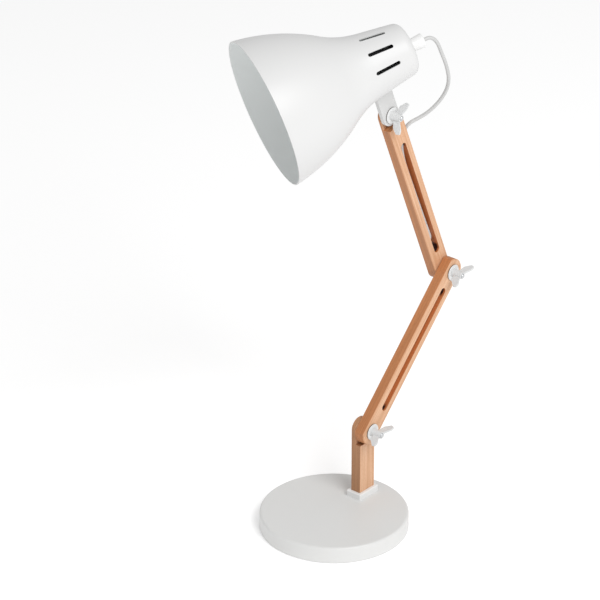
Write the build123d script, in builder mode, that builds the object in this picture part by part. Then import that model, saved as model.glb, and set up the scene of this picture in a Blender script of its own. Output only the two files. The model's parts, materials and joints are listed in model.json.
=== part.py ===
from build123d import *
import os
from math import atan2, cos, degrees, pi, radians, sin, tan

os.makedirs("parts", exist_ok=True)

# Architect desk lamp, in millimetres. +Z is up and the origin is the middle of the underside of the base.
# The post stands on the +X side of the base. Both arms swing in planes parallel to XZ, and -Y is the
# front, where the wing nuts are.

# Base
base_radius = 80.0
base_height = 18.5
base_edge = 2.5
cover_wall = 1.5
cover_bottom = 0.6
boss_radius = 4.5  # of the threaded bosses under the cover's top
boss_height = 9.0
pad_radius = 74.0
pad_thickness = 2.0
weight_radius = 76.0
weight_bottom = pad_thickness
weight_top = 16.8
channel_width = 10.0
gland_turn = 30  # degrees round from +X to +Y
gland_height = 8.0
gland_depth = 6.0  # how far the gland goes in from the outer face of the base
gland_radius = 3.9
gland_bore = 2.6
channel_roof = 14.0
cover_screw_circle = 50.0
cover_screw_radius = 2.0
cover_screw_head = 4.0
cover_screw_bore = 2.05
post_screw_radius = 1.7
post_screw_length = 45.0  # above its head
post_screw_head = 3.9
screw_passage = 2.2
screw_head_height = 2.8

# Wood: the post and both arms are cut from the same bar
bar_width = 24.0
bar_thickness = 12.4
bar_edge = 0.8
parting_gap = 0.3  # from the parting plane y = 0 to the wood on either side
post_x = 48.0
post_front = -6.0
post_shoulder = 83.0
collar_border = 3.5
collar_height = 7.0
screw_offset = 8.5  # of the post's screws, either side of its middle

# Pivots and the rest pose
lower_pivot_z = 98.5
lower_arm_length = 193.5
upper_arm_length = 230.0
lower_arm_angle = 45.5
upper_arm_angle = 112.7
bolt_radius = 2.5
bore_radius = 2.55

# Grooves along the front face of each arm, open right through near their ends
groove_width = 8.0
groove_depth = 9.4
lower_groove = (25.6, 174.0)
upper_groove = (27.2, 189.7)
lower_window_foot = 47.0
lower_window_top = 153.0
upper_window_foot = 56.0

# Lap at the top of the upper arm, from the back to the front
tongue_thickness = 3.4
friction_washer = 0.5
bracket_thickness = 5.4
lap_length = bar_width / 2 + 1.3
end_radius = 15.0  # of the lower arm's shallow round ends, about its pivots

# Fittings on the pivots
hub_height = 11.5
hub_radius = 5.0
wing_half = 1.1  # half of a wing's thickness
wing_reach = 17.5
washer_radius = 9.0
washer_thickness = 1.6
friction_radius = 10.0
nut_gap = 0.1
bolt_overhang = hub_height + 1.2
bolt_head_radius = 5.5
bolt_head_height = 2.6

# Head
swivel_height = 73.4  # from the tilt pivot to the axis of the shade
swivel_angle = 27.5  # how far the shade is turned towards +Y at rest
shade_rake = 3.0  # the shade's axis leans this much towards the bracket's own direction
rim_distance = 125.0
rim_radius = 80.3
neck_end = -34.0
neck_end_radius = 28.8
neck_mouth = 6.0
neck_mouth_radius = 35.0
flank_start = 41.0
flank_start_radius = 48.6
end_round = 9.0
shade_wall = 1.3
vent_count = 5  # centred on the side away from the bracket
vent_pitch = 34.5  # degrees
vent_length = 29.0
vent_width = 4.0
vent_middle = -6.0
neck_radius = 34.1  # under the swivel
saddle_radius = 8.0
saddle_height = 3.0
swivel_seat_height = 5.0
swivel_screw_radius = 1.5
swivel_screw_bore = 1.55
swivel_screw_depth = 11.0  # in the bracket
spring_washer_height = 0.8

# Lamp holder, with its distances along the shade's axis from its centre towards the mouth
nipple_radius = 5.0
nipple_overhang = 7.0
cap_radius = 14.0
cap_length = 17.0
barrel_radius = 19.0
socket_radius = 13.4
sleeve_wall = 0.6
socket_bottom = -11.0
socket_mouth = 13.0
contact_radius = 4.5
contact_thickness = 1.0
contact_sunk = 0.2  # below the floor of the socket
rivet_radius = 1.5
grip_radius = 6.6
grip_tip = -58.0

# Cord
cord_radius = 2.0
cord_bore = 3.0
cord_depth = 5.7  # from the front face of the lower arm to the cord's middle

# Directions: u runs along a bar, n is its left-hand side seen from the front
front = Vector(0, -1, 0)


def along(angle):
    return Vector(cos(radians(angle)), 0, sin(radians(angle)))


u_lower = along(lower_arm_angle)
n_lower = along(lower_arm_angle + 90)
u_upper = along(upper_arm_angle)
n_upper = along(upper_arm_angle + 90)
lower_pivot = Vector(post_x, 0, lower_pivot_z)
elbow = lower_pivot + u_lower * lower_arm_length
head_pivot = elbow + u_upper * upper_arm_length

# Depths of the faces along Y
lower_back = -parting_gap
lower_front = lower_back - bar_thickness
upper_front = parting_gap
upper_back = upper_front + bar_thickness
post_back = post_front + bar_thickness
post_middle_y = (post_front + post_back) / 2
tongue_front = upper_back - tongue_thickness
bracket_back = tongue_front - friction_washer
bracket_front = bracket_back - bracket_thickness
bracket_middle = (bracket_back + bracket_front) / 2

# The head's frame: mouth points out of the shade along its axis, foot points from there to the bracket
sideways = n_upper * cos(radians(swivel_angle)) - front * sin(radians(swivel_angle))
mouth = sideways * cos(radians(shade_rake)) + u_upper * sin(radians(shade_rake))
foot_side = (u_upper - mouth * u_upper.dot(mouth)).normalized() * -1
swivel_origin = Vector(head_pivot.X, bracket_middle, head_pivot.Z)
shade_centre = swivel_origin + u_upper * swivel_height


def bar_plane(pivot, u, y):
    """A plane parallel to XZ at depth y: x along the bar, y to its left, z towards the front."""
    return Plane(origin=(pivot.X, y, pivot.Z), x_dir=u, z_dir=front)


def on_lower(s, w, y):
    """The point at distance s up the lower arm, w to the left of its middle line and depth y."""
    point = lower_pivot + u_lower * s + n_lower * w
    return Vector(point.X, y, point.Z)


def on_upper(s, w, y):
    """The same for the upper arm, with s measured from the elbow."""
    point = elbow + u_upper * s + n_upper * w
    return Vector(point.X, y, point.Z)


def keep(shape, name):
    """Labels a finished piece and writes it to its own STEP file."""
    shape.label = name
    export_step(shape, f"parts/{name}.step")


gland_way = Vector(cos(radians(gland_turn)), sin(radians(gland_turn)), 0)


def gland_plane(distance):
    """A plane across the gland's axis, at a distance from the middle of the base."""
    return Plane(origin=gland_way * distance + Vector(0, 0, gland_height), z_dir=gland_way)


# Under the foot of the post, abreast of the gland, where the cord's channel turns
channel_corner = Vector(post_x, post_x * tan(radians(gland_turn)))
post_screw_places = [(post_x - screw_offset, 0), (post_x + screw_offset, 0)]


# ---------------------------------------------------------------- base

# The pressed-steel cover: a shallow drum, open below, with three threaded bosses under its top.
with BuildPart() as base_cover:
    with BuildSketch(Plane.XY.offset(cover_bottom)):
        Circle(base_radius)
    extrude(amount=base_height - cover_bottom)
    fillet(base_cover.edges().group_by(Axis.Z)[-1], base_edge)
    with BuildSketch(Plane.XY.offset(cover_bottom)):
        Circle(base_radius - cover_wall)
    extrude(amount=base_height - cover_wall - cover_bottom, mode=Mode.SUBTRACT)
    with BuildSketch(Plane.XY.offset(base_height - cover_wall)):
        with PolarLocations(cover_screw_circle, 3, start_angle=60):
            Circle(boss_radius)
    extrude(amount=-boss_height)
    with BuildSketch(Plane.XY.offset(base_height - cover_wall)):
        with PolarLocations(cover_screw_circle, 3, start_angle=60):
            Circle(cover_screw_bore)
    extrude(amount=-boss_height, mode=Mode.SUBTRACT)
    # passages for the cord and the post's screws in the top, and for the gland in the wall
    with BuildSketch(Plane.XY.offset(base_height)):
        with Locations((post_x, 0)):
            Circle(2 * cord_radius)
        with Locations(*post_screw_places):
            Circle(screw_passage)
    extrude(amount=-cover_wall, mode=Mode.SUBTRACT)
    with BuildSketch(gland_plane(base_radius - gland_depth)):
        Circle(gland_radius + 0.1)
    extrude(amount=gland_depth + 2, mode=Mode.SUBTRACT)
keep(base_cover.part, "base_cover")

# The cast-iron weight, with a channel below for the cord and holes for the screws.
with BuildPart() as base_weight:
    with BuildSketch(Plane.XY.offset(weight_bottom)):
        Circle(weight_radius)
    extrude(amount=weight_top - weight_bottom)
    fillet(base_weight.edges().group_by(Axis.Z)[-1], base_edge)
    with BuildSketch(Plane.XY.offset(weight_bottom)):
        with BuildLine():
            Polyline((post_x, -4), channel_corner, channel_corner * 2)
        trace(line_width=channel_width)
    extrude(amount=channel_roof - weight_bottom, mode=Mode.SUBTRACT)
    with BuildSketch(Plane.XY.offset(weight_top)):
        with Locations((post_x, 0)):
            SlotOverall(14, channel_width, rotation=90)
        with PolarLocations(cover_screw_circle, 3, start_angle=60):
            Circle(boss_radius + 0.5)
    extrude(amount=-(boss_height + 0.8), mode=Mode.SUBTRACT)
    with BuildSketch(Plane.XY.offset(weight_bottom)):
        with Locations(*post_screw_places):
            Circle(screw_passage)
        with PolarLocations(cover_screw_circle, 3, start_angle=60):
            Circle(screw_passage)
    extrude(amount=weight_top - weight_bottom, mode=Mode.SUBTRACT)
    # countersinks below
    with BuildSketch(Plane.XY.offset(weight_bottom)):
        with Locations(*post_screw_places):
            Circle(post_screw_head + 0.3)
        with PolarLocations(cover_screw_circle, 3, start_angle=60):
            Circle(cover_screw_head + 0.7)
    extrude(amount=screw_head_height + 0.2, mode=Mode.SUBTRACT)
keep(base_weight.part, "base_weight")

# The foam rubber pad under the base.
with BuildPart() as base_pad:
    with BuildSketch():
        Circle(pad_radius)
    extrude(amount=pad_thickness)
keep(base_pad.part, "base_pad")

# Three machine screws that hold the weight up into the cover.
screw_shoulder = weight_bottom + 0.2 + screw_head_height
with BuildPart() as cover_screws:
    with BuildSketch(Plane.XY.offset(screw_shoulder)):
        with PolarLocations(cover_screw_circle, 3, start_angle=60):
            Circle(cover_screw_head)
    extrude(amount=-screw_head_height)
    with BuildSketch(Plane.XY.offset(screw_shoulder)):
        with PolarLocations(cover_screw_circle, 3, start_angle=60):
            Circle(cover_screw_radius)
    extrude(amount=boss_height + 1)
keep(cover_screws.part, "cover_screws")

# Two long screws up through the weight into the foot of the post.
with BuildPart() as post_screws:
    with BuildSketch(Plane.XY.offset(screw_shoulder)):
        with Locations(*post_screw_places):
            Circle(post_screw_head)
    extrude(amount=-screw_head_height)
    with BuildSketch(Plane.XY.offset(screw_shoulder)):
        with Locations(*post_screw_places):
            Circle(post_screw_radius)
    extrude(amount=post_screw_length)
keep(post_screws.part, "post_screws")

# The gland in the wall of the base where the mains lead comes out.
with BuildPart() as lead_gland:
    with BuildSketch(gland_plane(base_radius - gland_depth)):
        Circle(gland_radius)
    extrude(amount=gland_depth + 2)
    with BuildSketch(gland_plane(base_radius)):
        Circle(gland_radius + 1.6)
    extrude(amount=3, taper=6)
    with BuildSketch(gland_plane(base_radius - gland_depth)):
        Circle(gland_bore)
    extrude(amount=gland_depth + 3, mode=Mode.SUBTRACT)
keep(lead_gland.part, "lead_gland")

# The square collar round the foot of the post.
with BuildPart() as post_collar:
    with BuildSketch(Plane.XY.offset(base_height)):
        with Locations((post_x, post_middle_y)):
            RectangleRounded(bar_width + 2 * collar_border, bar_thickness + 2 * collar_border, 1.5)
    extrude(amount=collar_height)
    fillet(post_collar.edges().group_by(Axis.Z)[-1], 1.0)
    with BuildSketch(Plane.XY.offset(base_height)):
        with Locations((post_x, post_middle_y)):
            Rectangle(bar_width + 0.2, bar_thickness + 0.2)
    extrude(amount=collar_height, mode=Mode.SUBTRACT)
keep(post_collar.part, "post_collar")


# ---------------------------------------------------------------- cord route

# Each list is a stretch of one continuous cord. Neighbouring stretches meet on a straight run, so that
# each one starts in the direction in which the one before it ended.
groove_lower_y = lower_front + cord_depth
channel_turn = channel_corner + Vector(0, 0, gland_height)
post_turn = Vector(post_x, post_middle_y, 50)
post_entry = Vector(post_x + 4, post_back + 6, 79)
lower_foot_dive = on_lower(43, 0, groove_lower_y)
lower_top_dive = on_lower(163, 0, groove_lower_y)
upper_foot_rise = on_upper(45, 0, 5)
upper_middle = on_upper(122, 0.6, 6.5)
hole_start = on_upper(178, 1, 6.8)
hole_end = on_upper(202, -14, 5.5)
loop_crown = Vector(149.1, -25.5, 464.8)
loop_side = Vector(146.3, -31.7, 481.2)


def part_way(start, end, share=0.5):
    """The point that lies a share of the way from start to end."""
    return start + (end - start) * share


base_to_post = part_way(post_turn, post_entry)
post_to_lower = part_way(lower_foot_dive, lower_top_dive, 0.15)
lower_to_elbow = part_way(lower_foot_dive, lower_top_dive, 0.78)
elbow_to_upper = part_way(upper_foot_rise, upper_middle, 0.3)
upper_to_loop = part_way(hole_start, hole_end, 0.38)
loop_middle = part_way(loop_crown, loop_side)

base_route = [
    gland_plane(base_radius - gland_depth).origin,
    channel_turn,
    Vector(post_x, post_middle_y, gland_height),
    post_turn,
    base_to_post,
]
post_route = [
    base_to_post,
    post_entry,
    Vector(post_x + 22, post_back + 7, 99),
    on_lower(26, -8, 9),
    on_lower(34.5, -1, 1),
    lower_foot_dive,
    post_to_lower,
]
lower_route = [post_to_lower, lower_to_elbow]
elbow_route = [
    lower_to_elbow,
    lower_top_dive,
    on_lower(169, -0.5, -1),
    on_lower(171, -6, 8),
    elbow + Vector(6, 15.6, -17),
    elbow + Vector(13, 16, -6),
    elbow + Vector(13, 16, 6),
    elbow + Vector(4, 16, 19),
    on_upper(33, 0, 15),
    upper_foot_rise,
    elbow_to_upper,
]
upper_route = [elbow_to_upper, upper_middle, hole_start, upper_to_loop]
loop_start_route = [
    upper_to_loop,
    hole_end,
    Vector(136.3, -7.7, 437.5),
    Vector(145.1, -17.1, 449.7),
    loop_crown,
    loop_middle,
]
grip_end = shade_centre + mouth * grip_tip
loop_end_route = [
    loop_middle,
    loop_side,
    Vector(139.6, -33.3, 499.8),
    Vector(132.3, -31, 518),
    Vector(128, -28.8, 530.4),
    grip_end - mouth * 8.5,
    grip_end,
]
tail_route = [grip_end, shade_centre + mouth * (neck_end + 2)]


# ---------------------------------------------------------------- wood

# The post: a lap cuts away its front half above the shoulder, and the tongue that is left is rounded.
with BuildPart() as post:
    with BuildSketch(Plane.XY.offset(base_height)):
        with Locations((post_x, post_middle_y)):
            Rectangle(bar_width, bar_thickness)
    extrude(amount=lower_pivot_z - base_height)
    with BuildSketch(bar_plane(lower_pivot, Vector(0, 0, 1), post_back)):
        Circle(bar_width / 2)
    extrude(amount=bar_thickness)
    with BuildSketch(Plane.XY.offset(post_shoulder)):
        with Locations((post_x, upper_front)):
            Rectangle(bar_width + 2, bar_thickness, align=(Align.CENTER, Align.MAX))
    extrude(amount=bar_width * 2, mode=Mode.SUBTRACT)
    chamfer(post.edges().filter_by(Axis.Z).group_by(SortBy.LENGTH)[-1], bar_edge)
    with BuildSketch(bar_plane(lower_pivot, u_lower, post_back)):
        Circle(bore_radius)
    extrude(amount=bar_thickness, mode=Mode.SUBTRACT)
    # the cord's bore: up from the foot, then slanting out through the back
    with BuildSketch(Plane(origin=(post_x, post_middle_y, base_height), z_dir=(0, 0, 1))):
        Circle(cord_bore)
    extrude(amount=post_turn.Z - base_height + 1.5, mode=Mode.SUBTRACT)
    with BuildSketch(Plane(origin=post_turn, z_dir=post_entry - post_turn)):
        Circle(cord_bore)
    extrude(amount=(post_entry - post_turn).length + 10, mode=Mode.SUBTRACT)
    with BuildSketch(Plane.XY.offset(base_height)):
        with Locations(*post_screw_places):
            Circle(post_screw_radius)
    extrude(amount=screw_shoulder + post_screw_length + 1.5 - base_height, mode=Mode.SUBTRACT)
keep(post.part, "post")

# The lower arm: a bar with shallow round ends, a groove in its front face and a window at each end of it.
lower_plane = bar_plane(lower_pivot, u_lower, lower_back)
with BuildPart() as lower_arm:
    with BuildSketch(lower_plane):
        with Locations((0, 0), (lower_arm_length, 0)):
            Circle(end_radius)
        with Locations((lower_arm_length / 2, 0)):
            Rectangle(lower_arm_length, bar_width)
            Rectangle(lower_arm_length + 2 * end_radius, bar_width, mode=Mode.INTERSECT)
    extrude(amount=bar_thickness)
    chamfer(lower_arm.faces().filter_by(Axis.Y).edges(), bar_edge)
    foot, top = lower_groove
    with BuildSketch(lower_plane.offset(bar_thickness - groove_depth)):
        with Locations(((foot + top) / 2, 0)):
            SlotOverall(top - foot, groove_width)
    extrude(amount=groove_depth, mode=Mode.SUBTRACT)
    with BuildSketch(lower_plane):
        with Locations(((foot + lower_window_foot) / 2, 0)):
            SlotOverall(lower_window_foot - foot, groove_width)
        with Locations(((top + lower_window_top) / 2, 0)):
            SlotOverall(top - lower_window_top, groove_width)
    extrude(amount=bar_thickness, mode=Mode.SUBTRACT)
    with BuildSketch(lower_plane):
        with Locations((0, 0), (lower_arm_length, 0)):
            Circle(bore_radius)
    extrude(amount=bar_thickness, mode=Mode.SUBTRACT)
keep(lower_arm.part, "lower_arm")

# The upper arm: the same bar, with its front cut away at the top to leave a thin tongue at the back.
upper_plane = bar_plane(elbow, u_upper, upper_back)
with BuildPart() as upper_arm:
    with BuildSketch(upper_plane):
        with Locations((upper_arm_length / 2, 0)):
            SlotCenterToCenter(upper_arm_length, bar_width)
    extrude(amount=bar_thickness)
    chamfer(upper_arm.faces().filter_by(Axis.Y).edges(), bar_edge)
    with BuildSketch(upper_plane.offset(tongue_thickness)):
        with Locations((upper_arm_length - lap_length, 0)):
            Rectangle(2 * bar_width, bar_width + 2, align=(Align.MIN, Align.CENTER))
    extrude(amount=bar_thickness, mode=Mode.SUBTRACT)
    foot, top = upper_groove
    with BuildSketch(upper_plane.offset(bar_thickness - groove_depth)):
        with Locations(((foot + top) / 2, 0)):
            SlotOverall(top - foot, groove_width)
    extrude(amount=groove_depth, mode=Mode.SUBTRACT)
    with BuildSketch(upper_plane):
        with Locations(((foot + upper_window_foot) / 2, 0)):
            SlotOverall(upper_window_foot - foot, groove_width)
        with Locations((0, 0), (upper_arm_length, 0)):
            Circle(bore_radius)
    extrude(amount=bar_thickness, mode=Mode.SUBTRACT)
    # the slanting hole that takes the cord out of the right-hand edge
    with BuildSketch(Plane(origin=hole_start, z_dir=hole_end - hole_start)):
        Circle(cord_bore - 0.1)
    extrude(amount=(hole_end - hole_start).length * 1.4, mode=Mode.SUBTRACT)
keep(upper_arm.part, "upper_arm")


# ---------------------------------------------------------------- pivots

def disc(pivot, back, thickness, radius, hole, edge=0.0):
    """A flat ring on a pivot, from depth back towards the front, with its front rim chamfered."""
    with BuildPart() as ring:
        with BuildSketch(bar_plane(pivot, u_lower, back)):
            Circle(radius)
        extrude(amount=thickness)
        if edge:
            chamfer(ring.edges().sort_by(Axis.Y)[0], edge)
        with BuildSketch(bar_plane(pivot, u_lower, back)):
            Circle(hole)
        extrude(amount=thickness, mode=Mode.SUBTRACT)
    return ring.part


def pivot_bolt(pivot, back, tip):
    """A domed carriage bolt whose head bears on the back face and whose shank ends at depth tip."""
    with BuildPart() as bolt:
        with BuildSketch(bar_plane(pivot, u_lower, back + bolt_head_height)):
            Circle(bolt_head_radius)
        extrude(amount=bolt_head_height)
        fillet(bolt.edges().sort_by(Axis.Y)[-1], 2.0)
        with BuildSketch(bar_plane(pivot, u_lower, back)):
            Circle(bolt_radius)
        extrude(amount=back - tip)
        chamfer(bolt.edges().sort_by(Axis.Y)[0], 0.5)
    return bolt.part


def wing_nut(pivot, seat, angle):
    """A wing nut that bears on depth seat, with its two wings turned to the given angle."""
    hub_plane = bar_plane(pivot, along(angle), seat)
    wing_plane = Plane(origin=hub_plane.origin, x_dir=along(angle), z_dir=along(angle - 90))
    with BuildPart() as nut:
        with BuildSketch(hub_plane):
            Circle(hub_radius)
        extrude(amount=hub_height, taper=7)
        with BuildSketch(wing_plane) as wings:
            for side in (1, -1):
                with BuildLine():
                    Polyline(
                        (side * 3, 3.2),
                        (side * 12, 5.6),
                        (side * wing_reach, 11.5),
                        (side * (wing_reach - 1), 15.5),
                        (side * 12, 15.0),
                        (side * 3, 10.0),
                        close=True,
                    )
                make_face()
            fillet([v for v in wings.vertices() if abs(wing_plane.to_local_coords(v).X) > 10], 1.4)
        extrude(amount=wing_half, both=True)
        with BuildSketch(hub_plane):
            Circle(bore_radius)
        extrude(amount=hub_height + 1, mode=Mode.SUBTRACT)
    return nut.part


# pivot, face that the white washer bears on, back face under the bolt's head, angle of the wings
pivots = {
    "post": (lower_pivot, lower_front, post_back, 14),
    "elbow": (elbow, lower_front, upper_back, 20),
    "head": (head_pivot, bracket_front, upper_back, 62),
}
for name, (pivot, face, back, wings_angle) in pivots.items():
    seat = face - washer_thickness - nut_gap
    keep(disc(pivot, face, washer_thickness, washer_radius, bore_radius, 0.5), f"{name}_washer")
    keep(pivot_bolt(pivot, back, seat - bolt_overhang), f"{name}_bolt")
    keep(wing_nut(pivot, seat, wings_angle), f"{name}_wing_nut")

# Thin nylon discs between the faces that rub
for name, pivot, back, thickness in (
    ("post", lower_pivot, parting_gap, 2 * parting_gap),
    ("elbow", elbow, parting_gap, 2 * parting_gap),
    ("head", head_pivot, tongue_front, friction_washer),
):
    keep(disc(pivot, back, thickness, friction_radius, bore_radius), f"{name}_friction_washer")


# ---------------------------------------------------------------- head

bracket_top = swivel_height - neck_radius - saddle_height

# The flat bracket: round at the tilt pivot, square at the top, where the swivel screw goes in.
with BuildPart() as head_bracket:
    with BuildSketch(bar_plane(head_pivot, u_upper, bracket_back)):
        Circle(bar_width / 2)
        with Locations((bracket_top / 2, 0)):
            Rectangle(bracket_top, bar_width)
    extrude(amount=bracket_thickness)
    chamfer(head_bracket.faces().filter_by(Axis.Y).edges(), 0.6)
    with BuildSketch(bar_plane(head_pivot, u_upper, bracket_back)):
        Circle(bore_radius)
    extrude(amount=bracket_thickness, mode=Mode.SUBTRACT)
    with BuildSketch(Plane(origin=swivel_origin + u_upper * bracket_top, z_dir=u_upper)):
        Circle(swivel_screw_radius)
    extrude(amount=-swivel_screw_depth - 1, mode=Mode.SUBTRACT)
keep(head_bracket.part, "head_bracket")


def degrees_of(rise, run):
    """The angle, in degrees, of a slope."""
    return degrees(atan2(rise, run))


def shade_points(inset):
    """The turning points of the shade's section, moved in from the outer face by inset."""
    neck_lean = degrees_of(neck_mouth_radius - neck_end_radius, neck_mouth - neck_end)
    join_lean = 2 * degrees_of(flank_start_radius - neck_mouth_radius, flank_start - neck_mouth) - neck_lean
    rim_lean = 2 * degrees_of(rim_radius - flank_start_radius, rim_distance - flank_start) - join_lean
    leans = (neck_lean, neck_lean, join_lean, rim_lean)
    radii = (neck_end_radius, neck_mouth_radius, flank_start_radius, rim_radius)
    heights = (neck_end, neck_mouth, flank_start, rim_distance)
    points = [
        (r - inset * cos(radians(lean)), h + inset * sin(radians(lean)))
        for r, h, lean in zip(radii, heights, leans)
    ]
    round_r = neck_end_radius - end_round * cos(radians(neck_lean))
    round_h = neck_end + end_round * sin(radians(neck_lean)) - end_round + inset
    return [(round_r, round_h)] + points, leans


def shade_curve(inset):
    """The section's line from the middle of the closed end to the rim."""
    points, leans = shade_points(inset)
    end, side, neck, flank, rim = points
    Line((0, end[1]), end)
    TangentArc(end, side, tangent=(1, 0))
    Line(side, neck)
    TangentArc(neck, flank, tangent=(sin(radians(leans[1])), cos(radians(leans[1]))))
    TangentArc(flank, rim, tangent=(sin(radians(leans[2])), cos(radians(leans[2]))))
    return (0, end[1]), rim


def axial_plane(distance):
    """A plane across the shade's axis, at a distance from its centre towards the mouth."""
    return Plane(origin=shade_centre + mouth * distance, x_dir=foot_side, z_dir=mouth)


section_plane = Plane(origin=shade_centre, x_dir=foot_side, z_dir=foot_side.cross(mouth))
shade_axis = Axis(shade_centre, mouth)
end_face = shade_points(0)[0][0][1]
end_inside = end_face + shade_wall

# A cutter for the ventilation slots: one bar each, from the axis outwards.
with BuildPart() as vents:
    for step in range(vent_count):
        turn = 180 + (step - (vent_count - 1) / 2) * vent_pitch
        outwards = foot_side.rotate(Axis((0, 0, 0), mouth), turn)
        with BuildSketch(Plane(origin=shade_centre + mouth * vent_middle, x_dir=mouth, z_dir=outwards)):
            SlotOverall(vent_length, vent_width)
        extrude(amount=2 * neck_radius)

# The spun-metal shade: one wall from the closed end of the neck to the rim.
with BuildPart() as shade:
    with BuildSketch(section_plane):
        with BuildLine():
            outer_end, outer_rim = shade_curve(0)
            inner_end, inner_rim = shade_curve(shade_wall)
            Line(outer_end, inner_end)
            Line(outer_rim, inner_rim)
        make_face()
    revolve(axis=shade_axis)
    add(vents.part, mode=Mode.SUBTRACT)
    with BuildSketch(axial_plane(end_face)):
        Circle(nipple_radius + 0.05)
    extrude(amount=shade_wall, mode=Mode.SUBTRACT)
    with BuildSketch(Plane(origin=swivel_origin + u_upper * bracket_top, z_dir=u_upper)):
        Circle(swivel_screw_bore)
    extrude(amount=12, mode=Mode.SUBTRACT)
keep(shade.part, "shade")

# The solid that fills the shade's outer face, and the one that fills its inside, to shape the saddles.
with BuildPart() as shade_filled:
    with BuildSketch(section_plane):
        with BuildLine():
            outer_end, outer_rim = shade_curve(0)
            Polyline(outer_rim, (0, outer_rim[1]), outer_end)
        make_face()
    revolve(axis=shade_axis)
with BuildPart() as shade_inside:
    with BuildSketch(section_plane):
        with BuildLine():
            inner_end, inner_rim = shade_curve(shade_wall)
            Polyline(inner_rim, (0, inner_rim[1]), inner_end)
        make_face()
    revolve(axis=shade_axis)

# The saddle that seats the neck on the flat top of the bracket.
with BuildPart() as swivel_saddle:
    with BuildSketch(Plane(origin=swivel_origin + u_upper * bracket_top, z_dir=u_upper)):
        Circle(saddle_radius)
        Circle(swivel_screw_bore, mode=Mode.SUBTRACT)
    extrude(amount=2 * saddle_height)
    add(shade_filled.part, mode=Mode.SUBTRACT)
keep(swivel_saddle.part, "swivel_saddle")

# The block inside the neck that gives the swivel screw a flat seat.
swivel_seat = bracket_top + saddle_height + swivel_seat_height
with BuildPart() as swivel_seat_block:
    with BuildSketch(Plane(origin=swivel_origin + u_upper * swivel_seat, z_dir=u_upper)):
        Circle(saddle_radius)
        Circle(swivel_screw_bore, mode=Mode.SUBTRACT)
    extrude(amount=-swivel_seat_height)
    add(shade_inside.part, mode=Mode.INTERSECT)
keep(swivel_seat_block.part, "swivel_seat_block")

with BuildPart() as swivel_spring_washer:
    with BuildSketch(Plane(origin=swivel_origin + u_upper * swivel_seat, z_dir=u_upper)):
        Circle(3.2)
        Circle(swivel_screw_bore, mode=Mode.SUBTRACT)
    extrude(amount=spring_washer_height)
keep(swivel_spring_washer.part, "swivel_spring_washer")

screw_foot = bracket_top - swivel_screw_depth
head_seat = swivel_seat + spring_washer_height
with BuildPart() as swivel_screw:
    with BuildSketch(Plane(origin=swivel_origin + u_upper * screw_foot, z_dir=u_upper)):
        Circle(swivel_screw_radius)
    extrude(amount=head_seat - screw_foot)
    with BuildSketch(Plane(origin=swivel_origin + u_upper * head_seat, z_dir=u_upper)):
        Circle(2.9)
    extrude(amount=2.4)
    fillet(swivel_screw.edges().sort_by(Axis((0, 0, 0), u_upper))[-1], 0.8)
    with BuildSketch(Plane(origin=swivel_origin + u_upper * (head_seat + 2.4), z_dir=u_upper)):
        Rectangle(4.4, 0.8)
        Rectangle(0.8, 4.4)
    extrude(amount=-1.2, mode=Mode.SUBTRACT)
keep(swivel_screw.part, "swivel_screw")


# ---------------------------------------------------------------- lamp holder

def tube(start, end, outer, inner):
    """A ring on the shade's axis between two distances from its centre."""
    with BuildPart() as ring:
        with BuildSketch(axial_plane(start)):
            Circle(outer)
            Circle(inner, mode=Mode.SUBTRACT)
        extrude(amount=end - start)
    return ring.part


keep(tube(end_face - nipple_overhang, end_inside + nipple_overhang, nipple_radius, 2.6), "holder_nipple")

with BuildPart() as nipple_nut:
    with BuildSketch(axial_plane(end_inside)):
        RegularPolygon(8, 6)
        Circle(nipple_radius + 0.05, mode=Mode.SUBTRACT)
    extrude(amount=3)
keep(nipple_nut.part, "nipple_nut")

cap_foot = end_inside + 3
barrel_foot = cap_foot + cap_length
with BuildPart() as holder_cap:
    with BuildSketch(axial_plane(cap_foot)):
        Circle(cap_radius)
    extrude(amount=cap_length, taper=-10)
    with BuildSketch(axial_plane(cap_foot + 2)):
        Circle(cap_radius - 2)
    extrude(amount=cap_length - 2, taper=-10, mode=Mode.SUBTRACT)
    with BuildSketch(axial_plane(cap_foot)):
        Circle(nipple_radius + 0.05)
    extrude(amount=2, mode=Mode.SUBTRACT)
keep(holder_cap.part, "holder_cap")

# The barrel: a floor that carries the contact, and a wall round the threaded sleeve.
with BuildPart() as holder_barrel:
    with BuildSketch(axial_plane(barrel_foot)):
        Circle(barrel_radius)
    extrude(amount=socket_mouth - barrel_foot)
    fillet(holder_barrel.edges().sort_by(shade_axis)[-1], 1.5)
    with BuildSketch(axial_plane(socket_bottom)):
        Circle(socket_radius + sleeve_wall)
    extrude(amount=socket_mouth - socket_bottom, mode=Mode.SUBTRACT)
    with BuildSketch(axial_plane(barrel_foot)):
        Circle(cap_radius)
    extrude(amount=socket_bottom - 3 - barrel_foot, mode=Mode.SUBTRACT)
    with BuildSketch(axial_plane(socket_bottom)):
        Circle(contact_radius + 0.1)
    extrude(amount=-(contact_sunk + contact_thickness), mode=Mode.SUBTRACT)
    with BuildSketch(axial_plane(socket_bottom)):
        Circle(rivet_radius)
    extrude(amount=-3, mode=Mode.SUBTRACT)
keep(holder_barrel.part, "holder_barrel")

keep(tube(socket_bottom, socket_mouth - 1, socket_radius + sleeve_wall, socket_radius), "threaded_sleeve")

with BuildPart() as centre_contact:
    with BuildSketch(axial_plane(socket_bottom - contact_sunk)):
        Circle(contact_radius)
    extrude(amount=-contact_thickness)
    with BuildSketch(axial_plane(socket_bottom - contact_sunk)):
        Circle(rivet_radius)
    extrude(amount=-4)
keep(centre_contact.part, "centre_contact")

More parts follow.
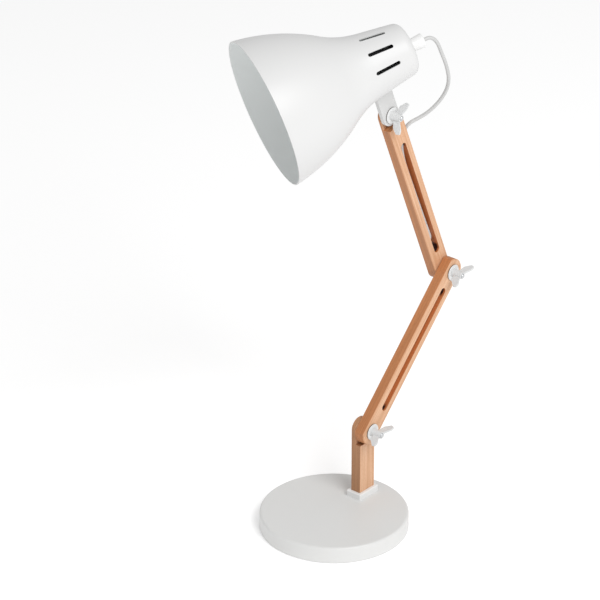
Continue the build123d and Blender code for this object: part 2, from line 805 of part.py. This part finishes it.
# The cord grip on the outer end of the nipple.
with BuildPart() as cord_grip:
    with BuildSketch(axial_plane(end_face)):
        Circle(grip_radius)
    extrude(amount=grip_tip - end_face, taper=-5)
    fillet(cord_grip.edges().sort_by(shade_axis)[0], 1.0)
    with BuildSketch(axial_plane(end_face)):
        Circle(nipple_radius)
    extrude(amount=-nipple_overhang, mode=Mode.SUBTRACT)
    with BuildSketch(axial_plane(end_face)):
        Circle(cord_radius + 0.05)
    extrude(amount=grip_tip - end_face, mode=Mode.SUBTRACT)
keep(cord_grip.part, "cord_grip")


# ---------------------------------------------------------------- cord

def corner_radii(route):
    """For each corner, the largest tangent arc that leaves a little of both runs straight."""
    radii = []
    for before, corner, after in zip(route, route[1:], route[2:]):
        arriving, leaving = corner - before, after - corner
        half_turn = radians(arriving.get_angle(leaving)) / 2
        radii.append(0.45 * min(arriving.length, leaving.length) / tan(half_turn))
    return radii


def cord(route, name):
    """Sweeps the cord's round section along straight runs joined by tangent arcs."""
    with BuildPart() as piece:
        with BuildLine() as path:
            if len(route) > 2:
                FilletPolyline(*route, radius=corner_radii(route))
            else:
                Line(*route)
        with BuildSketch(Plane(origin=route[0], z_dir=route[1] - route[0])):
            Circle(cord_radius)
        sweep()
    length = path.wires()[0].length
    radii = [round(r, 1) for r in corner_radii(route)]
    share = piece.part.volume / (pi * cord_radius**2 * length)
    print(f"{name}: length {length:.1f}, radii {radii}, volume over section times length {share:.4f}")
    keep(piece.part, name)


cord(base_route, "cord_in_base")
cord(post_route, "cord_at_post")
cord(lower_route, "cord_in_lower_arm")
cord(elbow_route, "cord_at_elbow")
cord(upper_route, "cord_in_upper_arm")
cord(loop_start_route, "cord_loop_lower")
cord(loop_end_route, "cord_loop_upper")
cord(tail_route, "cord_in_holder")
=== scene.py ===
import json
from math import cos, pi, radians, sin

import bmesh
import bpy
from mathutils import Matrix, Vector


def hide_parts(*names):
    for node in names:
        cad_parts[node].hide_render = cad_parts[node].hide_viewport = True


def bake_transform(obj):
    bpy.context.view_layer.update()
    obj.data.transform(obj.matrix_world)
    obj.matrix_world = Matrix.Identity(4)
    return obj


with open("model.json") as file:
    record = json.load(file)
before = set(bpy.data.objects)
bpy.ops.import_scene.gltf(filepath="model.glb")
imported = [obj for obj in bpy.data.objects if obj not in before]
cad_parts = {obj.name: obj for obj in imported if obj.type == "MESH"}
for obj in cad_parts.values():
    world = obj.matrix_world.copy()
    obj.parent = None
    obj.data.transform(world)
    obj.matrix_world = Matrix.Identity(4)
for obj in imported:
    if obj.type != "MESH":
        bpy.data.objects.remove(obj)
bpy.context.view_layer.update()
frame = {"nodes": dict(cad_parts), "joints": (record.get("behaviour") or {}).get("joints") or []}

nodes = frame["nodes"]
joints = {joint["name"]: joint for joint in frame["joints"]}


# ---------------------------------------------------------------- white enamel: base cover and bracket

# The base cover is a pressed-steel drum and the head's bracket is a flat strip. Both are powder coated in
# a satin white, which leaves a very fine orange peel and picks up a little dust where hands don't reach.


class Value:
    """One socket of a material, so that sums on it can be written as plain expressions."""

    def __init__(self, finish, socket):
        self.finish, self.socket = finish, socket

    def reckon(self, operation, *terms):
        values = dict(enumerate(terms))
        return self.finish.node("ShaderNodeMath", {"operation": operation}, values)

    def __add__(self, other):
        return self.reckon("ADD", self, other)

    def __radd__(self, other):
        return self.reckon("ADD", other, self)

    def __sub__(self, other):
        return self.reckon("SUBTRACT", self, other)

    def __rsub__(self, other):
        return self.reckon("SUBTRACT", other, self)

    def __mul__(self, other):
        return self.reckon("MULTIPLY", self, other)

    def __rmul__(self, other):
        return self.reckon("MULTIPLY", other, self)

    def __abs__(self):
        return self.reckon("ABSOLUTE", self)


class Finish:
    """A material on the principled shader. Constants go straight on the shader's own sockets."""

    def __init__(self, name, **constants):
        self.material = bpy.data.materials.new(name)
        self.material.use_nodes = True
        self.tree = self.material.node_tree
        self.shader = self.tree.nodes["Principled BSDF"]
        for socket, value in constants.items():
            self.shader.inputs[socket.replace("_", " ").title().replace("Ior", "IOR")].default_value = value

    def node(self, kind, settings=None, values=None, out=0):
        """Adds a node: its settings first, then the value or the link of each named socket."""
        made = self.tree.nodes.new(kind)
        for name, value in (settings or {}).items():
            if name == "stops":
                ramp = made.color_ramp
                while len(ramp.elements) < len(value):
                    ramp.elements.new(1.0)
                for element, (place, colour) in zip(ramp.elements, value):
                    element.position, element.color = place, colour
            else:
                setattr(made, name, value)
        for name, value in (values or {}).items():
            if isinstance(value, Value):
                self.tree.links.new(value.socket, made.inputs[name])
            else:
                made.inputs[name].default_value = value
        return Value(self, made.outputs[out])

    def mix(self, share, first, second, how="MIX"):
        """Mixes two colours, share of the way from the first to the second."""
        colours = {0: share}
        for socket, colour in ((6, first), (7, second)):
            colours[socket] = colour if isinstance(colour, Value) else tuple(colour) + (1.0,)
        return self.node("ShaderNodeMix", {"data_type": "RGBA", "blend_type": how}, colours, 2)

    def ramp(self, share, *stops):
        """Runs through colours, each given with its place."""
        stops = [(place, tuple(colour) + (1.0,)) for place, colour in stops]
        return self.node("ShaderNodeValToRGB", {"stops": stops}, {"Fac": share})

    def noise(self, place, scale, detail, **others):
        values = {"Vector": place, "Scale": scale, "Detail": detail, **others}
        return self.node("ShaderNodeTexNoise", {}, values)

    def fade(self, value, start, end):
        """Rises smoothly from 0 at start to 1 at end."""
        limits = {"Value": value, "From Min": start, "From Max": end, "To Min": 0.0, "To Max": 1.0}
        return self.node("ShaderNodeMapRange", {"interpolation_type": "SMOOTHSTEP"}, limits)

    def where(self, operation, value, limit):
        """1 where the value is LESS_THAN or GREATER_THAN the limit, and 0 elsewhere."""
        return self.node("ShaderNodeMath", {"operation": operation}, {0: value, 1: limit})

    def dented(self, strength, depth, height):
        """Gives the surface a fine relief, whose depth is in metres."""
        dents = {"Strength": strength, "Distance": depth, "Height": height}
        self.varies("Normal", self.node("ShaderNodeBump", {}, dents, "Normal"))

    def varies(self, socket, value):
        """Feeds one of the shader's inputs with something that changes over the surface."""
        self.tree.links.new(value.socket, self.shader.inputs[socket])

    def goes_on(self, *pieces):
        for piece in pieces:
            if not piece.material_slots:
                piece.data.materials.append(None)
            for place in piece.material_slots:
                place.material = self.material


def powder_coat(name, tone, peel, gloss):
    """Satin white enamel: peel is the pitch of its orange peel in metres."""
    coat = Finish(name, specular_ior_level=0.45, coat_ior=1.45)
    place = coat.node("ShaderNodeTexCoord", out="Object")
    broad = coat.noise(place, 14.0, 3.0)
    peel_height = coat.noise(place, 1.0 / peel, 2.0, Roughness=0.4)
    specks = coat.noise(place, 900.0, 1.0)
    coat.varies("Base Color", coat.mix(broad, [c * 0.965 for c in tone], tone))
    coat.varies("Roughness", gloss + (broad - 0.5) * 0.12 + (specks - 0.5) * 0.05)
    coat.dented(0.12, 0.0002, peel_height)
    return coat


powder_coat("satin_white_enamel", (0.70, 0.70, 0.69), 0.0014, 0.42).goes_on(nodes["base_cover"])
powder_coat("bracket_white_enamel", (0.62, 0.62, 0.615), 0.0011, 0.36).goes_on(nodes["head_bracket"])


# ---------------------------------------------------------------- inside the base

# The cast-iron weight with its sand-cast skin, the foam rubber pad glued under it, and the zinc-plated
# screws that hold the weight and the post.

iron = Finish("cast_iron_skin", metallic=0.6, roughness=0.7)
place = iron.node("ShaderNodeTexCoord", out="Object")
sand = iron.noise(place, 700.0, 4.0)
rust = iron.noise(place, 30.0, 5.0)
iron.varies("Base Color", iron.ramp(rust, (0.4, (0.05, 0.05, 0.055)), (0.75, (0.10, 0.065, 0.045))))
iron.dented(0.6, 0.0004, sand)
iron.goes_on(nodes["base_weight"])

foam = Finish("foam_rubber", roughness=0.9, specular_ior_level=0.2)
place = foam.node("ShaderNodeTexCoord", out="Object")
pores = foam.node("ShaderNodeTexVoronoi", {}, {"Vector": place, "Scale": 1400.0}, "Distance")
foam.varies("Base Color", foam.ramp(pores, (0.1, (0.012, 0.012, 0.013)), (0.6, (0.035, 0.035, 0.037))))
foam.dented(0.5, 0.0003, pores)
foam.goes_on(nodes["base_pad"])


def zinc_plate(name, tone):
    """Zinc-plated steel: fine turning marks and a faint cloudiness."""
    zinc = Finish(name, metallic=1.0)
    place = zinc.node("ShaderNodeTexCoord", out="Object")
    cloud = zinc.noise(place, 260.0, 3.0)
    marks = zinc.noise(place, 3500.0, 2.0)
    zinc.varies("Base Color", zinc.mix(cloud, [c * 0.85 for c in tone], tone))
    zinc.varies("Roughness", 0.24 + cloud * 0.16)
    zinc.dented(0.15, 0.0001, marks)
    return zinc


zinc = zinc_plate("zinc_plated_steel", (0.62, 0.63, 0.64))
zinc.goes_on(nodes["cover_screws"], nodes["post_screws"], nodes["holder_nipple"], nodes["nipple_nut"])


# ---------------------------------------------------------------- moulded white plastic

# The gland in the base's wall, the square collar round the foot of the post, the cord grip at the end of
# the shade, and the swivel's saddle and seat block are moulded in a satin white plastic.

moulded = powder_coat("moulded_white_plastic", (0.80, 0.80, 0.795), 0.0008, 0.34)
for name in ("lead_gland", "post_collar", "cord_grip", "swivel_saddle", "swivel_seat_block"):
    moulded.goes_on(nodes[name])


# ---------------------------------------------------------------- beech bars

# The post and both arms are planed from straight-grained beech bars. Their wide faces show pale
# streaks with small darker flecks. The sawn narrow faces are painted darker and redder, partly as their oiled
# wood tone and partly as painted shade. The groove drinks more oil and is redder.

groove_half_width = 0.0041
cutter_slack = 0.0002  # how far the groove's tone reaches past its cut


def beech(name, foot, lean, narrow_tone_and_shade, groove):
    """Oiled beech for a bar whose middle line starts at foot and leans at that angle, in degrees.

    The tone for the narrow faces is their wood tone darkened with painted shade. groove is where its groove
    starts and ends along the bar, and the depth of the face that it is cut into.
    """
    wood = Finish(name, specular_ior_level=0.35)
    place = wood.node("ShaderNodeTexCoord", out="Object")
    facing = wood.node("ShaderNodeTexCoord", out="Normal")
    bar = wood.node(
        "ShaderNodeMapping",
        {"vector_type": "TEXTURE"},
        {"Vector": place, "Location": foot, "Rotation": (0.0, -radians(lean), 0.0)},
    )

    def drawn_out(along, across):
        """The place on the bar with its pitch set apart along and across the grain."""
        pitch = (along, across, across)
        return wood.node("ShaderNodeVectorMath", {"operation": "MULTIPLY"}, {0: bar, 1: pitch})

    band = wood.noise(drawn_out(5.0, 210.0), 1.0, 3.0)
    streak = wood.noise(drawn_out(22.0, 900.0), 1.0, 3.0)
    fibre = wood.noise(drawn_out(60.0, 2600.0), 1.0, 2.0)
    ray_cells = {"Vector": drawn_out(260.0, 1300.0), "Scale": 1.0, "Randomness": 1.0}
    fleck = wood.fade(wood.node("ShaderNodeTexVoronoi", {}, ray_cells, "Distance"), 0.34, 0.12)
    grain = band * 0.5 + streak * 0.35 + fibre * 0.15
    pale = wood.ramp(
        grain, (0.34, (0.53, 0.275, 0.14)), (0.5, (0.65, 0.37, 0.215)), (0.64, (0.75, 0.48, 0.31))
    )
    narrow_wood_and_shade = wood.ramp(
        grain, (0.34, [c * 0.8 for c in narrow_tone_and_shade]), (0.5, narrow_tone_and_shade), (0.66, [c * 1.22 for c in narrow_tone_and_shade])
    )
    side = wood.node("ShaderNodeSeparateXYZ", {}, {0: facing}, "Y")
    # painted shade: faces found by their normal to be narrow take the darker tone, partly wood and partly
    # shade
    tone = wood.mix(wood.fade(abs(side), 0.35, 0.95), narrow_wood_and_shade, pale)
    tone = wood.mix(fleck * 0.5, tone, (0.72, 0.56, 0.44), "MULTIPLY")
    if groove:
        start, end, surface = groove
        length, depth, width = (wood.node("ShaderNodeSeparateXYZ", {}, {0: bar}, axis) for axis in "XYZ")
        in_groove = (
            wood.where("LESS_THAN", abs(width), groove_half_width)
            * wood.where("GREATER_THAN", length, start - cutter_slack)
            * wood.where("LESS_THAN", length, end + cutter_slack)
        )
        below = wood.where("GREATER_THAN", depth, surface + 0.0003)
        tone = wood.mix(in_groove * below, tone, (1.15, 0.88, 0.68), "MULTIPLY")
        # painted shade: low down at each end of the groove, where its deep ends are in shadow, the wood is
        # painted near black
        from_middle = abs(length - (start + end) / 2)
        near_end = wood.fade(from_middle, (end - start) / 2 - 0.010, (end - start) / 2 - 0.005)
        low_down = wood.fade(depth, surface + 0.0012, surface + 0.0030)
        tone = wood.mix(near_end * low_down * in_groove, tone, (0.035, 0.008, 0.004))
    wood.varies("Base Color", tone)
    wood.varies("Roughness", 0.46 + (streak - 0.5) * 0.2 + fleck * 0.08)
    wood.dented(0.25, 0.0002, streak * 0.5 + fibre * 0.5 - fleck * 0.4)
    return wood


lower_lean = 45.5
upper_lean = 112.7
lower_pivot = Vector(joints["lower_arm_hinge"]["pos_m"])
elbow = Vector(joints["elbow_hinge"]["pos_m"])
# the narrow-face tones are wood tone darkened partly as painted shade, the post's most of all
for name, foot, lean, narrow_tone_and_shade, groove in (
    ("post", (lower_pivot.x, 0.0, 0.0), 90.0, (0.42, 0.21, 0.105), None),
    ("lower_arm", tuple(lower_pivot), lower_lean, (0.47, 0.19, 0.075), (0.0256, 0.174, -0.0127)),
    ("upper_arm", tuple(elbow), upper_lean, (0.46, 0.195, 0.08), (0.0272, 0.1897, 0.0003)),
):
    beech(f"beech_{name}", foot, lean, narrow_tone_and_shade, groove).goes_on(nodes[name])


# ---------------------------------------------------------------- pivots

# Each pivot is a zinc-plated carriage bolt through the bars, a white washer whose rim is painted dark grey as
# shade, under a white die-cast wing nut in front, and a thin nylon washer between the two pieces that rub.

cast_white = powder_coat("die_cast_white_paint", (0.66, 0.665, 0.665), 0.0009, 0.28)
washer_tone = (0.70, 0.705, 0.705)
washer_white = powder_coat("washer_white_paint", washer_tone, 0.0009, 0.3)
facing = washer_white.node("ShaderNodeTexCoord", out="Normal")
side = washer_white.node("ShaderNodeSeparateXYZ", {}, {0: facing}, "Y")
# painted shade: the washer's rim, found by its normal, is painted dark grey and metallic to stand for its
# shaded edge
rim_painted_as_shade = washer_white.where("LESS_THAN", abs(side), 0.5)
washer_white.varies("Base Color", washer_white.mix(rim_painted_as_shade, washer_tone, (0.26, 0.25, 0.24)))
washer_white.varies("Metallic", rim_painted_as_shade)
for pivot in ("post", "elbow", "head"):
    cast_white.goes_on(nodes[f"{pivot}_wing_nut"])
    washer_white.goes_on(nodes[f"{pivot}_washer"])
    zinc.goes_on(nodes[f"{pivot}_bolt"])
zinc.goes_on(nodes["swivel_screw"], nodes["swivel_spring_washer"])

nylon = Finish("nylon_sheet", roughness=0.5, specular_ior_level=0.4)
place = nylon.node("ShaderNodeTexCoord", out="Object")
milky = nylon.noise(place, 220.0, 2.0)
nylon.varies("Base Color", nylon.ramp(milky, (0.3, (0.58, 0.57, 0.54)), (0.7, (0.68, 0.67, 0.64))))
nylon.goes_on(*(nodes[f"{pivot}_friction_washer"] for pivot in ("post", "elbow", "head")))


# ---------------------------------------------------------------- shade

# The bell is spun from thin aluminium sheet and coated in satin white outside and in a duller, cooler
# white inside. Spinning leaves very faint rings round its axis.

upper_way = Vector((cos(radians(upper_lean)), 0.0, sin(radians(upper_lean))))
upper_left = Vector((cos(radians(upper_lean + 90)), 0.0, sin(radians(upper_lean + 90))))
swivel_height = 0.0734
swivel_turn, shade_rake = radians(27.5), radians(3.0)
sideways = upper_left * cos(swivel_turn) + Vector((0.0, sin(swivel_turn), 0.0))
mouth = sideways * cos(shade_rake) + upper_way * sin(shade_rake)
shade_centre = Vector(joints["head_swivel"]["pos_m"]) + upper_way * swivel_height

spun = Finish("spun_shade_enamel", specular_ior_level=0.45)
place = spun.node("ShaderNodeTexCoord", out="Object")
facing = spun.node("ShaderNodeTexCoord", out="Normal")
arm = spun.node("ShaderNodeVectorMath", {"operation": "SUBTRACT"}, {0: place, 1: tuple(shade_centre)})
reach = spun.node("ShaderNodeVectorMath", {"operation": "DOT_PRODUCT"}, {0: arm, 1: tuple(mouth)}, "Value")
on_axis = spun.node("ShaderNodeVectorMath", {"operation": "SCALE"}, {0: tuple(mouth), "Scale": reach})
outward = spun.node("ShaderNodeVectorMath", {"operation": "SUBTRACT"}, {0: arm, 1: on_axis})
turned_out = spun.node("ShaderNodeVectorMath", {"operation": "DOT_PRODUCT"}, {0: outward, 1: facing}, "Value")
inside = spun.where("LESS_THAN", turned_out, -0.002)
broad = spun.noise(place, 9.0, 3.0)
peel = spun.noise(place, 800.0, 2.0, Roughness=0.4)
rings = spun.noise(spun.node("ShaderNodeCombineXYZ", {}, {"X": reach * 900.0}), 1.0, 3.0)
outer_white = spun.mix(broad, (0.645, 0.645, 0.645), (0.675, 0.675, 0.67))
inner_white = spun.mix(broad, (0.74, 0.765, 0.76), (0.78, 0.80, 0.795))
spun.varies("Base Color", spun.mix(inside, outer_white, inner_white))
spun.varies("Roughness", 0.4 + inside * 0.15 + (broad - 0.5) * 0.1)
spun.dented(0.1, 0.0002, peel * 0.4 + rings * 0.6)
spun.goes_on(nodes["shade"])


# ---------------------------------------------------------------- lamp holder

# The holder in the neck is pressed in black phenolic, with a nickelled threaded sleeve for the bulb and a
# sprung brass contact at its bottom.

phenolic = Finish("black_phenolic", roughness=0.3, specular_ior_level=0.5)
place = phenolic.node("ShaderNodeTexCoord", out="Object")
flow = phenolic.noise(place, 120.0, 4.0)
resin = phenolic.ramp(flow, (0.35, (0.010, 0.010, 0.011)), (0.7, (0.022, 0.021, 0.021)))
phenolic.varies("Base Color", resin)
phenolic.goes_on(nodes["holder_cap"], nodes["holder_barrel"])
zinc_plate("nickel_plate", (0.7, 0.67, 0.6)).goes_on(nodes["threaded_sleeve"])
zinc_plate("brass_strip", (0.72, 0.52, 0.22)).goes_on(nodes["centre_contact"])


# ---------------------------------------------------------------- cord

# One round white PVC cord runs from the base up through the post, along the groove of each arm and out of
# the upper arm's edge in a loose loop to the grip on the shade. It crosses a joint at each open stretch.

cord_diameter = 0.004
post_x, post_middle_y, post_back = 0.048, 0.0002, 0.0064
gland_height = 0.008
gland_turn = radians(30.0)
lower_groove_y = -0.007
lower_way = Vector((cos(radians(lower_lean)), 0.0, sin(radians(lower_lean))))
lower_left = Vector((cos(radians(lower_lean + 90)), 0.0, sin(radians(lower_lean + 90))))


def on_lower(s, w, y):
    """The point s up the lower arm, w to the left of its middle line and at depth y, in metres."""
    point = lower_pivot + lower_way * s + lower_left * w
    return Vector((point.x, y, point.z))


def on_upper(s, w, y):
    """The same for the upper arm, with s measured from the elbow."""
    point = elbow + upper_way * s + upper_left * w
    return Vector((point.x, y, point.z))


grip_end = shade_centre - mouth * 0.058
cord_points = [
    # from the gland along the channel in the weight, and up the bore of the post
    Vector((0.074 * cos(gland_turn), 0.074 * sin(gland_turn), gland_height)),
    Vector((post_x, 0.0277, gland_height)),
    Vector((post_x, post_middle_y, gland_height)),
    Vector((post_x, post_middle_y, 0.05)),
    # out of the post's back, up behind the lower pivot and forward through the arm's foot window
    Vector((0.052, post_back + 0.006, 0.079)),
    Vector((0.070, post_back + 0.007, 0.099)),
    on_lower(0.026, -0.008, 0.009),
    on_lower(0.0345, -0.001, 0.001),
    # along the lower groove
    on_lower(0.043, 0.0, lower_groove_y),
    on_lower(0.0547, 0.0, lower_groove_y),
    on_lower(0.1545, 0.0, lower_groove_y),
    on_lower(0.163, 0.0, lower_groove_y),
    # back through the top window and round the head of the elbow bolt
    on_lower(0.169, -0.0005, -0.001),
    on_lower(0.171, -0.006, 0.008),
    elbow + Vector((0.006, 0.0156, -0.017)),
    elbow + Vector((0.013, 0.016, -0.006)),
    elbow + Vector((0.013, 0.016, 0.006)),
    elbow + Vector((0.004, 0.016, 0.019)),
    on_upper(0.033, 0.0, 0.015),
    # along the upper groove, then out through the slanting hole
    on_upper(0.045, 0.0, 0.005),
    on_upper(0.0606, 0.0001, 0.0053),
    on_upper(0.122, 0.0006, 0.0065),
    on_upper(0.178, 0.001, 0.0068),
    on_upper(0.202, -0.014, 0.0055),
    # the loose loop, and straight into the grip
    Vector((0.1363, -0.0077, 0.4375)),
    Vector((0.1451, -0.0171, 0.4497)),
    Vector((0.1491, -0.0255, 0.4648)),
    Vector((0.1463, -0.0317, 0.4812)),
    Vector((0.1396, -0.0333, 0.4998)),
    Vector((0.1323, -0.031, 0.518)),
    Vector((0.128, -0.0288, 0.5304)),
    grip_end - mouth * 0.0085,
    grip_end,
    shade_centre - mouth * 0.032,
]


def drawn_curve(name, kind, points):
    """A new curve of one spline through, or under the pull of, the given points."""
    curve = bpy.data.curves.new(name, "CURVE")
    curve.dimensions = "3D"
    spline = curve.splines.new(kind)
    spline.points.add(len(points) - 1)
    for knot, point in zip(spline.points, points):
        knot.co = tuple(point) + (1.0,)
    return curve, spline


def as_mesh(curve):
    """The mesh that a curve makes."""
    holder = bpy.data.objects.new(curve.name, curve)
    bpy.context.scene.collection.objects.link(holder)
    bpy.context.view_layer.update()
    mesh = bpy.data.meshes.new_from_object(holder.evaluated_get(bpy.context.evaluated_depsgraph_get()))
    bpy.data.objects.remove(holder)
    return mesh


line, spline = drawn_curve("cord_line", "NURBS", cord_points)
line.resolution_u = 16
spline.order_u = 3
spline.use_endpoint_u = True
centre_line = [vertex.co.copy() for vertex in as_mesh(line).vertices]

pvc = Finish("white_pvc_jacket", specular_ior_level=0.45)
place = pvc.node("ShaderNodeTexCoord", out="Object")
smear = pvc.noise(place, 60.0, 3.0)
drawn = pvc.noise(place, 1500.0, 2.0)
pvc.varies("Base Color", pvc.mix(smear, (0.50, 0.50, 0.495), (0.56, 0.56, 0.555)))
pvc.varies("Roughness", 0.38 + smear * 0.1)
pvc.dented(0.12, 0.0001, drawn)


def nearest(point):
    """The place on the traced line that is nearest to a point."""
    return min(range(len(centre_line)), key=lambda i: (centre_line[i] - point).length)


def stretch(name, first, last, end, stands_for):
    """One stretch of the cord, from the first place on its line to the last. end is not used.

    It stands for those pieces of the part.
    """
    path = centre_line[first : last + 1]
    tube, _ = drawn_curve(name + "_tube", "POLY", path)
    tube.bevel_depth = cord_diameter / 2
    tube.bevel_resolution = 6
    tube.use_fill_caps = True
    mesh = as_mesh(tube)
    skin = bmesh.new()
    skin.from_mesh(mesh)
    bmesh.ops.remove_doubles(skin, verts=skin.verts, dist=1e-6)
    bmesh.ops.recalc_face_normals(skin, faces=skin.faces)
    for face in skin.faces:
        face.smooth = len(face.verts) == 4
    skin.to_mesh(mesh)
    skin.free()
    mesh.name = name
    piece = bpy.data.objects.new(name, mesh)
    bpy.context.scene.collection.objects.link(piece)
    pvc.goes_on(piece)
    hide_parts(*stands_for)
    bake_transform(piece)


in_lower_groove = nearest(on_lower(0.061, 0.0, lower_groove_y))
in_upper_groove = nearest(on_upper(0.0681, 0.0002, 0.00545))
loop_middle = nearest(Vector((0.1477, -0.0286, 0.473)))
stretch(
    "cord_past_post", 0, in_lower_groove,
    on_lower(0.034, 0.0, 0.0), ("cord_in_base", "cord_at_post"),
)
stretch(
    "cord_past_elbow", in_lower_groove, in_upper_groove,
    elbow + Vector((-0.012, 0.0, 0.03)),
    ("cord_in_lower_arm", "cord_at_elbow"),
)
stretch(
    "cord_past_tilt", in_upper_groove, loop_middle,
    centre_line[loop_middle - 3], ("cord_in_upper_arm", "cord_loop_lower"),
)
stretch(
    "cord_past_swivel", loop_middle, len(centre_line) - 1,
    grip_end - mouth * 0.004, ("cord_loop_upper", "cord_in_holder"),
)


# ---------------------------------------------------------------- room

# A plain white floor, an even white sky, a large soft light in front and a long lens well back.

floor_mesh = bpy.data.meshes.new("floor")
sheet = bmesh.new()
bmesh.ops.create_grid(sheet, x_segments=1, y_segments=1, size=12.0)
sheet.to_mesh(floor_mesh)
sheet.free()
floor = bpy.data.objects.new("floor", floor_mesh)
bpy.context.scene.collection.objects.link(floor)
paper = Finish(
    "white_floor", base_color=(0.97, 0.97, 0.97, 1.0), roughness=1.0, specular_ior_level=0.0,
    emission_color=(1.0, 1.0, 1.0, 1.0), emission_strength=0.18,
)
paper.goes_on(floor)


def look(piece, azimuth, elevation, target, distance):
    """Puts a camera or a light at that side and height, facing the target."""
    side, height = radians(azimuth), radians(elevation)
    back = Vector((sin(side) * cos(height), -cos(side) * cos(height), sin(height)))
    piece.location = target + back * distance
    piece.rotation_euler = back.to_track_quat("Z", "Y").to_euler()


lamp_middle = Vector((0.0, 0.0, 0.3))
light_distance = 3.0
light_share = 0.62  # how much it adds to a white wall that faces it
panel = bpy.data.lights.new("front_light", "AREA")
panel.size = 1.6
panel.energy = light_share * (pi * light_distance) ** 2
light = bpy.data.objects.new("front_light", panel)
bpy.context.scene.collection.objects.link(light)
look(light, -17.0, 45.0, lamp_middle, light_distance)
world = bpy.data.worlds.new("white_sky")
world.use_nodes = True
world.node_tree.nodes["Background"].inputs["Color"].default_value = (1.0, 1.0, 1.0, 1.0)
world.node_tree.nodes["Background"].inputs["Strength"].default_value = 0.62
bpy.context.scene.world = world
bpy.context.scene.view_settings.view_transform = "Standard"

aim = Vector((-0.0568, 0.0, 0.2943))
lens = bpy.data.cameras.new("camera")
lens.sensor_width = 36.0
lens.lens = 233.4
lens.clip_end = 30.0
camera = bpy.data.objects.new("camera", lens)
bpy.context.scene.collection.objects.link(camera)
look(camera, -50.0, 27.4, aim, 4.0)
bpy.context.scene.camera = camera
